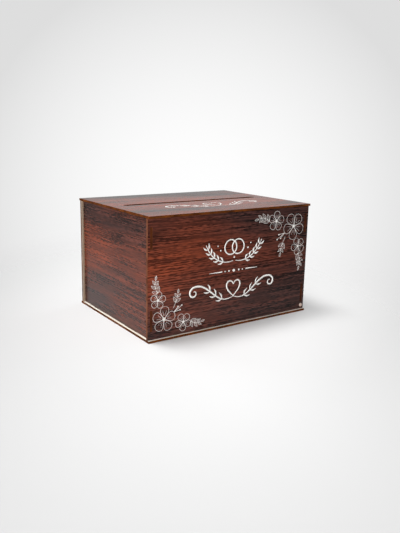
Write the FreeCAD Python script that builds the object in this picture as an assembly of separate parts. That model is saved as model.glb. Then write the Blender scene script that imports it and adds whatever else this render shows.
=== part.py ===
"""Flat-pack card box of laser-cut board: tenoned walls, a screwed right wall and a lift-off lid with a slot.

Millimetres. +X runs along the front to the right, +Y from front to back, +Z up.
The origin is the middle of the base's underside.
"""
import FreeCAD, Part
import math
import os

Vector = FreeCAD.Vector

# Box
width = 256.0
depth = 195.0
height = 153.0
board = 3.0

# Walls: how far their outer faces stand in from the edges of base and lid
front_inset = 3.0
side_inset = 3.5

# Through tenons, by length and by distance from the wall's ends or between centres
corner_tenon_length = 26.0
corner_tenon_end_gap = 10.5
base_tenon_length = 30.0
base_tenon_pitch_front = 128.0
base_tenon_pitch_side = 92.0
tenon_clearance = 0.1

# Lid
card_slot_length = 217.0
card_slot_width = 9.0
strip_width = 12.0
lid_play = 0.5

# Corner screw and square nut
thread_diameter = 2.5
thread_clearance = 0.1
screw_length = 10.0
screw_height_over_base = 5.3
head_diameter = 5.0
head_height = 2.0
head_skirt = 0.7
recess_length = 2.8
recess_width = 0.7
recess_depth = 0.9
nut_side = 5.0
nut_thickness = 1.6
nut_clearance = 0.1
nut_setback = 3.4
slot_run_out = 1.0

# Worked out from the sizes above
base_top = board
lid_underside = height - board
wall_height = lid_underside - base_top
wall_middle = (lid_underside + base_top) / 2
front_inner = depth / 2 - front_inset - board
front_outer = front_inner + board
side_inner = width / 2 - side_inset - board
side_middle = side_inner + board / 2
corner_tenon_rise = wall_height / 2 - corner_tenon_end_gap - corner_tenon_length / 2
corner_tenon_heights = (wall_middle - corner_tenon_rise, wall_middle + corner_tenon_rise)
screw_height = base_top + screw_height_over_base
hole_diameter = thread_diameter + 2 * thread_clearance
mortise_width = board + 2 * tenon_clearance
mortise_growth = 2 * tenon_clearance


def rectangle(middle_u, middle_v, size_u, size_v):
    """Return a flat rectangle in the sheet's plane, placed by its middle."""
    corner = Vector(middle_u - size_u / 2, middle_v - size_v / 2, 0)
    return Part.makePlane(size_u, size_v, corner)


def disc(middle_u, middle_v, diameter):
    """Return a flat disc in the sheet's plane."""
    edge = Part.makeCircle(diameter / 2, Vector(middle_u, middle_v, 0))
    return Part.Face(Part.Wire(edge))


def round_ended_slot(length, slot_width):
    """Return a flat slot along u with half-round ends, centred on the sheet's origin."""
    radius = slot_width / 2
    reach = length / 2 - radius
    upper = Part.makeLine(Vector(reach, radius, 0), Vector(-reach, radius, 0))
    left = Part.Arc(Vector(-reach, radius, 0), Vector(-reach - radius, 0, 0), Vector(-reach, -radius, 0))
    lower = Part.makeLine(Vector(-reach, -radius, 0), Vector(reach, -radius, 0))
    right = Part.Arc(Vector(reach, -radius, 0), Vector(reach + radius, 0, 0), Vector(reach, radius, 0))
    return Part.Face(Part.Wire([upper, left.toShape(), lower, right.toShape()]))


def cut_sheet(blank, tenons=(), openings=(), thickness=board):
    """Join tenons to a flat blank, take the openings out and give the outline its thickness along +Z."""
    outline = blank
    if tenons:
        outline = outline.fuse(list(tenons)).removeSplitter()
    if openings:
        outline = outline.cut(list(openings))
    return outline.Faces[0].extrude(Vector(0, 0, thickness))


def stand_up(shape):
    """Turn a sheet drawn in XY upright, so that its v runs up and its thickness towards -Y."""
    return shape.rotated(Vector(0, 0, 0), Vector(1, 0, 0), 90)


def turned(shape, degrees):
    """Return the shape turned about the box's upright middle line."""
    return shape.rotated(Vector(0, 0, 0), Vector(0, 0, 1), degrees)


def mirrored_to_back(shape):
    """Return the mirror image of a piece of the front at the back of the box."""
    return shape.mirror(Vector(0, 0, 0), Vector(0, 1, 0))


def lifted(shape, rise):
    """Return the shape moved up."""
    return shape.translated(Vector(0, 0, rise))


def base_tenons(pitch):
    """Return the flat tenons that go down through the base, a pair along one wall."""
    tenon_middle = base_top - board / 2
    return [rectangle(side * pitch / 2, tenon_middle, base_tenon_length, board) for side in (-1, 1)]


def base_panel():
    """The bottom board, with mortises for the tenons of all four walls."""
    front_line = front_inner + board / 2
    long_mortise = base_tenon_length + mortise_growth
    mortises = []
    for side in (-1, 1):
        for end in (-1, 1):
            along_front = end * base_tenon_pitch_front / 2
            along_side = end * base_tenon_pitch_side / 2
            mortises.append(rectangle(along_front, side * front_line, long_mortise, mortise_width))
            mortises.append(rectangle(side * side_middle, along_side, mortise_width, long_mortise))
    return cut_sheet(rectangle(0, 0, width, depth), openings=mortises)


def front_panel():
    """The front wall, with base tenons, mortises for the side walls and one screw hole at the right."""
    blank = rectangle(0, wall_middle, width, wall_height)
    openings = [disc(side_middle, screw_height, hole_diameter)]
    for side in (-1, 1):
        for tenon_height in corner_tenon_heights:
            long_mortise = corner_tenon_length + mortise_growth
            openings.append(rectangle(side * side_middle, tenon_height, mortise_width, long_mortise))
    wall = stand_up(cut_sheet(blank, base_tenons(base_tenon_pitch_front), openings))
    return wall.translated(Vector(0, -front_inner, 0))


def t_slots():
    """Return the flat openings for screw and nut at both ends of a side wall: neck and cross pocket."""
    neck_length = screw_length - board + slot_run_out
    pocket_length = nut_thickness + nut_clearance
    openings = []
    for end in (-1, 1):
        neck_middle = end * (front_inner - neck_length / 2)
        pocket_middle = end * (front_inner - nut_setback - pocket_length / 2)
        openings.append(rectangle(neck_middle, screw_height, neck_length, hole_diameter))
        openings.append(rectangle(pocket_middle, screw_height, pocket_length, nut_side + 2 * nut_clearance))
    return openings


def side_panel(openings=()):
    """A side wall in its place at the right, with base tenons and through tenons at both ends."""
    blank = rectangle(0, wall_middle, 2 * front_inner, wall_height)
    tenons = base_tenons(base_tenon_pitch_side)
    for end in (-1, 1):
        for tenon_height in corner_tenon_heights:
            tenon_middle = end * (front_inner + board / 2)
            tenons.append(rectangle(tenon_middle, tenon_height, board, corner_tenon_length))
    wall = turned(stand_up(cut_sheet(blank, tenons, openings)), 90)
    return wall.translated(Vector(side_inner, 0, 0))


def lid_panel():
    """The top board with the card slot through its middle."""
    slot = round_ended_slot(card_slot_length, card_slot_width)
    return lifted(cut_sheet(rectangle(0, 0, width, depth), openings=[slot]), lid_underside)


def lid_strips():
    """The locating strips under the lid, by name: two run the full inner length, two fit between them."""
    long_length = 2 * (side_inner - lid_play)
    long_middle = front_inner - lid_play - strip_width / 2
    short_length = 2 * (front_inner - lid_play - strip_width)
    short_middle = side_inner - lid_play - strip_width / 2
    outlines = {
        "lid_strip_front": rectangle(0, -long_middle, long_length, strip_width),
        "lid_strip_back": rectangle(0, long_middle, long_length, strip_width),
        "lid_strip_left": rectangle(-short_middle, 0, strip_width, short_length),
        "lid_strip_right": rectangle(short_middle, 0, strip_width, short_length),
    }
    return {name: lifted(cut_sheet(outline), lid_underside - board) for name, outline in outlines.items()}


def corner_screw():
    """Round-head screw through the front wall: a revolved profile with a cross recess in the head."""
    thread_radius = thread_diameter / 2
    head_radius = head_diameter / 2
    dome_rise = head_height - head_skirt
    dome_radius = (head_radius ** 2 + dome_rise ** 2) / (2 * dome_rise)
    half_angle = math.asin(head_radius / dome_radius) / 2
    dome_drop = dome_radius * (1 - math.cos(half_angle))
    dome_point = Vector(dome_radius * math.sin(half_angle), 0, head_height - dome_drop)
    tip = Vector(0, 0, -screw_length)
    top = Vector(0, 0, head_height)
    corners = [
        tip,
        Vector(thread_radius, 0, -screw_length),
        Vector(thread_radius, 0, 0),
        Vector(head_radius, 0, 0),
        Vector(head_radius, 0, head_skirt),
    ]
    edges = [Part.makeLine(start, end) for start, end in zip(corners, corners[1:])]
    edges.append(Part.Arc(corners[-1], dome_point, top).toShape())
    edges.append(Part.makeLine(top, tip))
    profile = Part.Face(Part.Wire(edges))
    screw = profile.revolve(Vector(0, 0, 0), Vector(0, 0, 1), 360)
    recess_floor = head_height - recess_depth
    for size_u, size_v in ((recess_length, recess_width), (recess_width, recess_length)):
        arm = rectangle(0, 0, size_u, size_v).extrude(Vector(0, 0, head_height))
        screw = screw.cut(lifted(arm, recess_floor))
    return stand_up(screw).translated(Vector(side_middle, -front_outer, screw_height))


def corner_nut():
    """Square nut in the right wall's T-slot, drawn against the shoulder on the screw head's side."""
    outline = rectangle(0, 0, nut_side, nut_side)
    nut = stand_up(cut_sheet(outline, openings=[disc(0, 0, hole_diameter)], thickness=nut_thickness))
    nut_back = -front_inner + nut_setback + nut_thickness
    return nut.translated(Vector(side_middle, nut_back, screw_height))


def with_twin(shape):
    """Return a piece of the right front corner and its twin at the right back corner as one group."""
    return Part.makeCompound([shape, mirrored_to_back(shape)])


def build():
    """Return every piece of the box by name."""
    front = front_panel()
    pieces = {
        "base_panel": base_panel(),
        "front_panel": front,
        "back_panel": mirrored_to_back(front),
        "right_side_panel": side_panel(t_slots()),
        "left_side_panel": turned(side_panel(), 180),
        "lid_panel": lid_panel(),
        "corner_screws": with_twin(corner_screw()),
        "corner_nuts": with_twin(corner_nut()),
    }
    pieces.update(lid_strips())
    return pieces


os.makedirs("parts", exist_ok=True)
for name, shape in build().items():
    shape.exportStep(os.path.join("parts", name + ".step"))
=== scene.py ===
"""Looks of a flat-pack card box: printed boards with scorched edges, white line print, lid and corner screws.

Every piece is in metres in the shared frame. Sizes that the frame doesn't give are in millimetres.
"""
import logging
import math
from dataclasses import dataclass, field, replace
from enum import Enum, IntEnum
from typing import Any, Iterable, Sequence

import bmesh
import bpy
from mathutils import Matrix, Vector


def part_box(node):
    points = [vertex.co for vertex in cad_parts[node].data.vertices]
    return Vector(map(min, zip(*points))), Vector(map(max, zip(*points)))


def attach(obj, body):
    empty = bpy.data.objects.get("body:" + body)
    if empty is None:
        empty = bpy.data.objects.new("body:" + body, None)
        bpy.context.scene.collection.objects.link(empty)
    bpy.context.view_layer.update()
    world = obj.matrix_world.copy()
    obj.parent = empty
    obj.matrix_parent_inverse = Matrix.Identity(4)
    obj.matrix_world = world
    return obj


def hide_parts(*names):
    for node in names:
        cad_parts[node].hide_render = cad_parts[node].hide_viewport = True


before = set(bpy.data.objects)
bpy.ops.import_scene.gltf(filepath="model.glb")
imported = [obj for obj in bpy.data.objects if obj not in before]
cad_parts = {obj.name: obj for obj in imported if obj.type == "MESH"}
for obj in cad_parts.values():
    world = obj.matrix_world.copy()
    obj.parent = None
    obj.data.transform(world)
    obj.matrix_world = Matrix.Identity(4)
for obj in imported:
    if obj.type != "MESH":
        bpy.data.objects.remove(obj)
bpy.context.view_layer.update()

Material = bpy.types.Material
Mesh = bmesh.types.BMesh
Piece = bpy.types.Object
Socket = bpy.types.NodeSocket
Tree = bpy.types.NodeTree
Point = tuple[float, float]
Span = tuple[float, float]
Triple = tuple[float, float, float]

LOG = logging.getLogger("card_box")
MM = 0.001
MERGE_MM = 0.002

# Sockets of the colour form of the Mix node
MIX_FACTOR = 0
MIX_A = 6
MIX_B = 7
MIX_RESULT = 2

# Detail of the noises in the plain finishes, from soft to fine
SOFT_DETAIL = 2.0
FINE_DETAIL = 3.0


def srgb(code: str) -> tuple[float, float, float, float]:
    """Turn an sRGB hex colour into linear red, green, blue and alpha.

    Args:
        code: Six hex digits, with or without a leading hash.

    Returns:
        The linear colour, opaque.
    """
    digits = code.lstrip("#")
    channels = [int(digits[i:i + 2], 16) / 255 for i in (0, 2, 4)]
    linear = [c / 12.92 if c <= 0.04045 else ((c + 0.055) / 1.055) ** 2.4 for c in channels]
    return (linear[0], linear[1], linear[2], 1.0)


def add_node(
    tree: Tree,
    kind: str,
    inputs: dict[str | int, Any] | None = None,
    **settings: Any,
) -> bpy.types.Node:
    """Add one shader node with its settings, its socket values and the links into it.

    Args:
        tree: The node tree that gets the node.
        kind: The node's type name.
        inputs: Values or output sockets, by the name or number of the input that takes them.
        **settings: Attributes of the node itself.

    Returns:
        The new node.
    """
    node = tree.nodes.new(kind)
    for name, value in settings.items():
        setattr(node, name, value)
    for key, value in (inputs or {}).items():
        if isinstance(value, Socket):
            tree.links.new(value, node.inputs[key])
        else:
            node.inputs[key].default_value = value
    return node


@dataclass(frozen=True)
class Finish:
    """A finish named for its material and how that was made; each kind of finish has a shader of its own."""

    name: str

    def material(self) -> Material:
        """Build the node material of the finish.

        Returns:
            The new material.
        """
        material = bpy.data.materials.new(self.name)
        material.use_nodes = True
        tree = material.node_tree
        tree.nodes.clear()
        place = add_node(tree, "ShaderNodeTexCoord").outputs["Object"]
        add_node(tree, "ShaderNodeOutputMaterial", {"Surface": self.shader(tree, place)})
        return material

    def shader(self, tree: Tree, place: Socket) -> Socket:
        """Add the nodes of the finish.

        Args:
            tree: The material's node tree.
            place: Its Object coordinates.

        Returns:
            The finished shader.
        """
        raise NotImplementedError(self.name)


class Grain(Enum):
    """The axis of the frame along which a board's printed grain runs."""

    ALONG_X = 0
    ALONG_Y = 1

    def stretch(self, along_mm: float, across_mm: float) -> Triple:
        """Give the scale of a pattern.

        Args:
            along_mm: Size of its marks along the grain.
            across_mm: Their size across the grain.

        Returns:
            The scale, by axis.
        """
        scale = [1 / (across_mm * MM)] * 3
        scale[self.value] = 1 / (along_mm * MM)
        return (scale[0], scale[1], scale[2])

    def across(self, amount_mm: float) -> Triple:
        """Give a vector of one length in both directions across the grain.

        Args:
            amount_mm: That length.

        Returns:
            The vector, in metres.
        """
        shift = [amount_mm * MM] * 3
        shift[self.value] = 0.0
        return (shift[0], shift[1], shift[2])


@dataclass(frozen=True)
class GrainLayer:
    """One layer of a printed grain: the size of its marks, its share in the tone and its offset.

    A layer that covers others does so where its noise passes from the first to the second value of its span.
    """

    along_mm: float
    across_mm: float
    detail: float
    weight: float
    shift: float
    span: Span = (0.0, 1.0)


@dataclass(frozen=True)
class RedHeart:
    """The broad redder part of a print: its middle, its reach along and across the grain, and its tone."""

    middle_mm: Triple
    along_mm: float
    across_mm: float
    tone: float


# Layers of the print: a drift that bends the rest by up to its weight in millimetres, zones and bands of
# tone, marks, dashes and calm stretches
DRIFT = GrainLayer(along_mm=220.0, across_mm=60.0, detail=1.0, weight=3.0, shift=3.1)
ZONES = GrainLayer(along_mm=170.0, across_mm=55.0, detail=1.0, weight=1.0, shift=0.0)
BANDS = GrainLayer(along_mm=230.0, across_mm=14.0, detail=1.0, weight=0.5, shift=5.3)
MARKS = (
    GrainLayer(along_mm=120.0, across_mm=3.4, detail=1.0, weight=0.4, shift=7.7),
    GrainLayer(along_mm=70.0, across_mm=1.3, detail=1.0, weight=0.95, shift=13.3),
    GrainLayer(along_mm=7.0, across_mm=1.1, detail=0.0, weight=0.55, shift=17.7),
)
DASHES = GrainLayer(along_mm=13.0, across_mm=1.0, detail=1.0, weight=0.6, shift=21.9, span=(0.54, 0.68))
CALM = GrainLayer(along_mm=80.0, across_mm=9.0, detail=1.0, weight=0.6, shift=29.3, span=(0.45, 0.62))

# Tone of the marks in a calm stretch, how far the tones of zones and marks reach, and where the marks start
CALM_MARK = 0.5
ZONE_REACH = 0.35
MARK_REACH = 0.115
MARK_START = -0.03

# Middle of a noise's values, its roughness, and how a board's seed moves it along the three axes
HALF_TONE = 0.5
NOISE_ROUGHNESS = 0.55
SEED_MOVE = (1.0, 1.7, 2.3)


@dataclass(frozen=True)
class WoodGrainPrint(Finish):
    """Rosewood grain printed on fibreboard and lacquered.

    The eye sees fine straight streaks and short dashes, near-black on brown in the print's dark zones and
    brown on red in its light ones, under a thin satin lacquer that pales at a grazing look.
    """

    grain: Grain
    seed: float
    heart: RedHeart
    bands: float = BANDS.weight
    dark_streak: str = "#120908"
    dark_ground: str = "#563530"
    red_streak: str = "#481e11"
    red_ground: str = "#93442a"
    streak_roughness: float = 0.26
    ground_roughness: float = 0.36
    ior: float = 1.345
    relief: float = 0.2
    relief_mm: float = 0.03

    def shader(self, tree: Tree, place: Socket) -> Socket:
        """Add the nodes of the print.

        Args:
            tree: The material's node tree.
            place: Its Object coordinates.

        Returns:
            The shader of the lacquered print.
        """
        drift = self._layer(tree, place, DRIFT)
        warped = add_node(tree, "ShaderNodeVectorMath", {
            0: drift, 1: self.grain.across(DRIFT.weight), 2: place,
        }, operation="MULTIPLY_ADD").outputs["Vector"]
        zone_layers = (ZONES, replace(BANDS, weight=self.bands))
        zone = self._tone(tree, warped, zone_layers, self._heart_tone(tree, place), ZONE_REACH)
        streak, ground = [
            add_node(tree, "ShaderNodeMix", {
                MIX_FACTOR: zone, MIX_A: srgb(dark), MIX_B: srgb(red),
            }, data_type="RGBA").outputs[MIX_RESULT]
            for dark, red in ((self.dark_streak, self.red_streak), (self.dark_ground, self.red_ground))
        ]
        busy = self._tone(tree, warped, MARKS, MARK_START, MARK_REACH)
        mark = add_node(tree, "ShaderNodeMapRange", {
            "Value": self._cover(tree, warped, CALM), "To Min": busy, "To Max": CALM_MARK,
        }).outputs["Result"]
        marked = add_node(tree, "ShaderNodeMix", {
            MIX_FACTOR: mark, MIX_A: streak, MIX_B: ground,
        }, data_type="RGBA").outputs[MIX_RESULT]
        dashed = add_node(tree, "ShaderNodeMix", {
            MIX_FACTOR: self._cover(tree, warped, DASHES), MIX_A: marked, MIX_B: streak,
        }, data_type="RGBA").outputs[MIX_RESULT]
        sheen = add_node(tree, "ShaderNodeMapRange", {
            "Value": mark, "To Min": self.streak_roughness, "To Max": self.ground_roughness,
        }).outputs["Result"]
        relief = add_node(tree, "ShaderNodeBump", {
            "Strength": self.relief, "Distance": self.relief_mm * MM, "Height": mark,
        }).outputs["Normal"]
        return add_node(tree, "ShaderNodeBsdfPrincipled", {
            "Base Color": dashed, "Roughness": sheen, "IOR": self.ior, "Normal": relief,
        }).outputs["BSDF"]

    def _heart_tone(self, tree: Tree, place: Socket) -> Socket:
        """Add the tone of the red heart, which falls off with the square of the distance from its middle.

        Args:
            tree: The material's node tree.
            place: Its Object coordinates.

        Returns:
            The tone, as a start for the layers of the zones.
        """
        scale = self.grain.stretch(self.heart.along_mm, self.heart.across_mm)
        middle = tuple(-at * MM * size for at, size in zip(self.heart.middle_mm, scale))
        away = add_node(tree, "ShaderNodeMapping", {
            "Vector": place, "Location": middle, "Scale": scale,
        }).outputs["Vector"]
        fall = add_node(tree, "ShaderNodeVectorMath", {
            0: away, 1: away,
        }, operation="DOT_PRODUCT").outputs["Value"]
        full_range = 2 * ZONE_REACH
        return add_node(tree, "ShaderNodeMath", {
            0: fall, 1: -full_range, 2: full_range * (self.heart.tone - HALF_TONE),
        }, operation="MULTIPLY_ADD").outputs[0]

    def _tone(
        self, tree: Tree, place: Socket, layers: Sequence[GrainLayer], start: Any, reach: float
    ) -> Socket:
        """Add up layers of grain.

        Args:
            tree: The material's node tree.
            place: The coordinates to read.
            layers: The layers, each centred before it is added.
            start: Sum for an even grain, or an output that gives it.
            reach: Sum at which the tone gets to one; as far below zero it gets to nought.

        Returns:
            The tone, from nought to one.
        """
        tone: Any = start
        for layer in layers:
            centred = add_node(tree, "ShaderNodeMath", {
                0: self._layer(tree, place, layer), 1: HALF_TONE,
            }, operation="SUBTRACT").outputs[0]
            tone = add_node(tree, "ShaderNodeMath", {
                0: centred, 1: layer.weight, 2: tone,
            }, operation="MULTIPLY_ADD").outputs[0]
        return add_node(tree, "ShaderNodeMapRange", {
            "Value": tone, "From Min": -reach, "From Max": reach,
        }).outputs["Result"]

    def _cover(self, tree: Tree, place: Socket, layer: GrainLayer) -> Socket:
        """Add a layer that covers the others in places.

        Args:
            tree: The material's node tree.
            place: The coordinates to read.
            layer: The layer, with its span.

        Returns:
            How far it covers them, from nought to its weight.
        """
        start, full = layer.span
        return add_node(tree, "ShaderNodeMapRange", {
            "Value": self._layer(tree, place, layer),
            "From Min": start, "From Max": full, "To Max": layer.weight,
        }).outputs["Result"]

    def _layer(self, tree: Tree, place: Socket, layer: GrainLayer) -> Socket:
        """Add one layer of grain, a noise drawn out along it.

        Args:
            tree: The material's node tree.
            place: The coordinates to read.
            layer: Size of its marks, detail and offset.

        Returns:
            The noise's value.
        """
        offset = self.seed + layer.shift
        mapped = add_node(tree, "ShaderNodeMapping", {
            "Vector": place,
            "Location": tuple(offset * move for move in SEED_MOVE),
            "Scale": self.grain.stretch(layer.along_mm, layer.across_mm),
        }).outputs["Vector"]
        return add_node(tree, "ShaderNodeTexNoise", {
            "Vector": mapped, "Scale": 1.0, "Detail": layer.detail, "Roughness": NOISE_ROUGHNESS,
        }).outputs["Fac"]


@dataclass(frozen=True)
class RawBoard(Finish):
    """Unprinted face of pale fibreboard, sanded.

    The eye sees a matte cream surface with faint mottling and short fibres, which are drawn coarser than they
    are, so that they show.
    """

    name: str = "fibreboard_raw_sanded"
    pale: str = "#fbf6ec"
    deep: str = "#efe4d2"
    mottle_mm: float = 9.0
    fibre_mm: float = 0.8
    tone_span: Span = (0.12, 0.42)
    roughness: float = 0.75
    ior: float = 1.3
    relief: float = 0.25
    relief_mm: float = 0.04

    def shader(self, tree: Tree, place: Socket) -> Socket:
        """Add the nodes of the raw board.

        Args:
            tree: The material's node tree.
            place: Its Object coordinates.

        Returns:
            The shader of the face with its stains.
        """
        mottle = add_node(tree, "ShaderNodeTexNoise", {
            "Vector": place, "Scale": 1 / (self.mottle_mm * MM), "Detail": FINE_DETAIL,
        }).outputs["Fac"]
        fibre = add_node(tree, "ShaderNodeTexNoise", {
            "Vector": place, "Scale": 1 / (self.fibre_mm * MM), "Detail": SOFT_DETAIL,
        }).outputs["Fac"]
        blend = add_node(tree, "ShaderNodeMath", {0: mottle, 1: fibre}, operation="MULTIPLY").outputs[0]
        share = add_node(tree, "ShaderNodeMapRange", {
            "Value": blend, "From Min": self.tone_span[0], "From Max": self.tone_span[1],
        }).outputs["Result"]
        coloured = add_node(tree, "ShaderNodeMix", {
            MIX_FACTOR: share, MIX_A: srgb(self.pale), MIX_B: srgb(self.deep),
        }, data_type="RGBA").outputs[MIX_RESULT]
        relief = add_node(tree, "ShaderNodeBump", {
            "Strength": self.relief, "Distance": self.relief_mm * MM, "Height": fibre,
        }).outputs["Normal"]
        return add_node(tree, "ShaderNodeBsdfPrincipled", {
            "Base Color": self._with_painted_shade(tree, place, coloured),
            "Roughness": self.roughness, "IOR": self.ior, "Normal": relief,
        }).outputs["BSDF"]

    def _with_painted_shade(self, tree: Tree, place: Socket, coloured: Socket) -> Socket:
        """Give the face's colour with its painted shade; a plain face has none."""
        return coloured


@dataclass(frozen=True)
class RawBoardWithPaintedCornerShade(RawBoard):
    """Unprinted face of pale fibreboard with painted shade in the corners where the side walls meet it.

    The eye sees the same matte cream with a soft brown band of painted shade along each row of slots, where a
    side wall stands in the corner. The middle lines of the two bands lie equally far from the board's middle.
    """

    name: str = "fibreboard_raw_painted_corner_shade"
    # Colour of the painted shade in the corners where the side walls stand
    painted_shade: str = "#704f31"
    cover: float = 0.85
    line_mm: float = 0.0
    core_mm: float = 2.1
    reach_mm: float = 7.0

    def _with_painted_shade(self, tree: Tree, place: Socket, coloured: Socket) -> Socket:
        """Add the two bands of painted corner shade.

        Args:
            tree: The material's node tree.
            place: Its Object coordinates.
            coloured: Colour of the face without painted shade.

        Returns:
            The colour with its painted shade.
        """
        along = add_node(tree, "ShaderNodeSeparateXYZ", {0: place}).outputs["X"]
        side = add_node(tree, "ShaderNodeMath", {0: along}, operation="ABSOLUTE").outputs[0]
        away = add_node(tree, "ShaderNodeMath", {
            0: side, 1: self.line_mm * MM,
        }, operation="SUBTRACT").outputs[0]
        distance = add_node(tree, "ShaderNodeMath", {0: away}, operation="ABSOLUTE").outputs[0]
        share = add_node(tree, "ShaderNodeMapRange", {
            "Value": distance, "From Min": self.core_mm * MM, "From Max": self.reach_mm * MM,
            "To Min": self.cover, "To Max": 0.0,
        }).outputs["Result"]
        return add_node(tree, "ShaderNodeMix", {
            MIX_FACTOR: share, MIX_A: coloured, MIX_B: srgb(self.painted_shade),
        }, data_type="RGBA").outputs[MIX_RESULT]


@dataclass(frozen=True)
class LaserCutEdge(Finish):
    """Edge of fibreboard cut by laser.

    The eye sees a scorched golden-brown edge with fine streaks, drawn coarser than they are so that they
    show, and darker patches where the beam lingered.
    """

    name: str = "fibreboard_laser_cut_edge"
    scorched: str = "#341809"
    golden: str = "#753e17"
    streak_mm: float = 0.9
    streak_weight: float = 0.35
    patch_mm: float = 14.0
    tone_span: Span = (0.45, 0.9)
    roughness: float = 0.7
    ior: float = 1.2
    relief: float = 0.4
    relief_mm: float = 0.04

    def shader(self, tree: Tree, place: Socket) -> Socket:
        """Add the nodes of the cut edge.

        Args:
            tree: The material's node tree.
            place: Its Object coordinates.

        Returns:
            The shader of the edge.
        """
        streak, patch = [
            add_node(tree, "ShaderNodeTexNoise", {
                "Vector": place, "Scale": 1 / (size_mm * MM), "Detail": SOFT_DETAIL,
            }).outputs["Fac"]
            for size_mm in (self.streak_mm, self.patch_mm)
        ]
        blend = add_node(tree, "ShaderNodeMath", {
            0: streak, 1: self.streak_weight, 2: patch,
        }, operation="MULTIPLY_ADD").outputs[0]
        share = add_node(tree, "ShaderNodeMapRange", {
            "Value": blend, "From Min": self.tone_span[0], "From Max": self.tone_span[1],
        }).outputs["Result"]
        coloured = add_node(tree, "ShaderNodeMix", {
            MIX_FACTOR: share, MIX_A: srgb(self.scorched), MIX_B: srgb(self.golden),
        }, data_type="RGBA").outputs[MIX_RESULT]
        relief = add_node(tree, "ShaderNodeBump", {
            "Strength": self.relief, "Distance": self.relief_mm * MM, "Height": streak,
        }).outputs["Normal"]
        return add_node(tree, "ShaderNodeBsdfPrincipled", {
            "Base Color": coloured, "Roughness": self.roughness, "IOR": self.ior, "Normal": relief,
        }).outputs["BSDF"]


@dataclass(frozen=True)
class WhiteInk(Finish):
    """White screen ink, printed over the grain and cured.

    The eye sees a slightly warm, even white with faint thin spots where the board's grain shows through.
    """

    name: str = "screen_ink_white"
    solid: str = "#fdfbf7"
    thin: str = "#f4efe8"
    spot_mm: float = 1.6
    thin_span: Span = (0.55, 0.85)
    roughness: float = 0.55
    ior: float = 1.4

    def shader(self, tree: Tree, place: Socket) -> Socket:
        """Add the nodes of the ink.

        Args:
            tree: The material's node tree.
            place: Its Object coordinates.

        Returns:
            The shader of the cured ink.
        """
        spots = add_node(tree, "ShaderNodeTexNoise", {
            "Vector": place, "Scale": 1 / (self.spot_mm * MM), "Detail": SOFT_DETAIL,
        }).outputs["Fac"]
        share = add_node(tree, "ShaderNodeMapRange", {
            "Value": spots, "From Min": self.thin_span[0], "From Max": self.thin_span[1],
        }).outputs["Result"]
        coloured = add_node(tree, "ShaderNodeMix", {
            MIX_FACTOR: share, MIX_A: srgb(self.solid), MIX_B: srgb(self.thin),
        }, data_type="RGBA").outputs[MIX_RESULT]
        return add_node(tree, "ShaderNodeBsdfPrincipled", {
            "Base Color": coloured, "Roughness": self.roughness, "IOR": self.ior,
        }).outputs["BSDF"]


@dataclass(frozen=True)
class ZincPlatedSteel(Finish):
    """Zinc-plated steel of small screws and nuts, barrel plated.

    The eye sees a pale, faintly warm metal with soft highlights and cloudy patches.
    Only part of it is metal: the rest shows its pale colour as a matte finish, a painted highlight in place
    of the lamps, which show in no mirror.
    """

    name: str = "steel_zinc_plated"
    bright: str = "#f0dacd"
    cloudy: str = "#d3bbae"
    cloud_mm: float = 1.2
    # Low, so that the pale colour shows as a painted highlight in place of the lamps' mirror images
    metallic: float = 0.3
    bright_roughness: float = 0.35
    cloudy_roughness: float = 0.55

    def shader(self, tree: Tree, place: Socket) -> Socket:
        """Add the nodes of the plated steel.

        Args:
            tree: The material's node tree.
            place: Its Object coordinates.

        Returns:
            The shader of the plating.
        """
        clouds = add_node(tree, "ShaderNodeTexNoise", {
            "Vector": place, "Scale": 1 / (self.cloud_mm * MM), "Detail": FINE_DETAIL,
        }).outputs["Fac"]
        coloured = add_node(tree, "ShaderNodeMix", {
            MIX_FACTOR: clouds, MIX_A: srgb(self.bright), MIX_B: srgb(self.cloudy),
        }, data_type="RGBA").outputs[MIX_RESULT]
        sheen = add_node(tree, "ShaderNodeMapRange", {
            "Value": clouds, "To Min": self.bright_roughness, "To Max": self.cloudy_roughness,
        }).outputs["Result"]
        return add_node(tree, "ShaderNodeBsdfPrincipled", {
            "Base Color": coloured, "Roughness": sheen, "Metallic": self.metallic,
        }).outputs["BSDF"]


class Facing(Enum):
    """The way a board's printed face looks: the frame axes of its own u, v and outward directions."""

    FRONT = ((1, 0, 0), (0, 0, 1), (0, -1, 0))
    BACK = ((-1, 0, 0), (0, 0, 1), (0, 1, 0))
    RIGHT = ((0, 1, 0), (0, 0, 1), (1, 0, 0))
    LEFT = ((0, -1, 0), (0, 0, 1), (-1, 0, 0))
    UP = ((1, 0, 0), (0, 1, 0), (0, 0, 1))
    DOWN = ((1, 0, 0), (0, -1, 0), (0, 0, -1))

    def place(self, inner: float) -> Matrix:
        """Give the matrix that takes the board's own plane to the frame.

        Args:
            inner: Distance of the plane from the frame's origin along the outward direction, in metres.

        Returns:
            The placing matrix.
        """
        turn = Matrix(self.value).transposed().to_4x4()
        outward = Vector(self.value[2])
        return Matrix.Translation(outward * inner) @ turn


class BoardFace(IntEnum):
    """The faces of a board, in the order of its materials."""

    OUTER = 0
    RAW = 1
    EDGE = 2


@dataclass(frozen=True)
class Patch:
    """A rectangle in a board's own plane, placed by its middle, in millimetres; radius rounds its corners."""

    u: float
    v: float
    size_u: float
    size_v: float
    radius: float = 0.0

    def holds(self, u: float, v: float) -> bool:
        """Tell whether a point of the plane lies inside."""
        return abs(u - self.u) < self.size_u / 2 and abs(v - self.v) < self.size_v / 2

    def lines_u(self) -> Span:
        """Give the places along u of its two ends."""
        return (self.u - self.size_u / 2, self.u + self.size_u / 2)

    def lines_v(self) -> Span:
        """Give the places along v of its two ends."""
        return (self.v - self.size_v / 2, self.v + self.size_v / 2)


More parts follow.
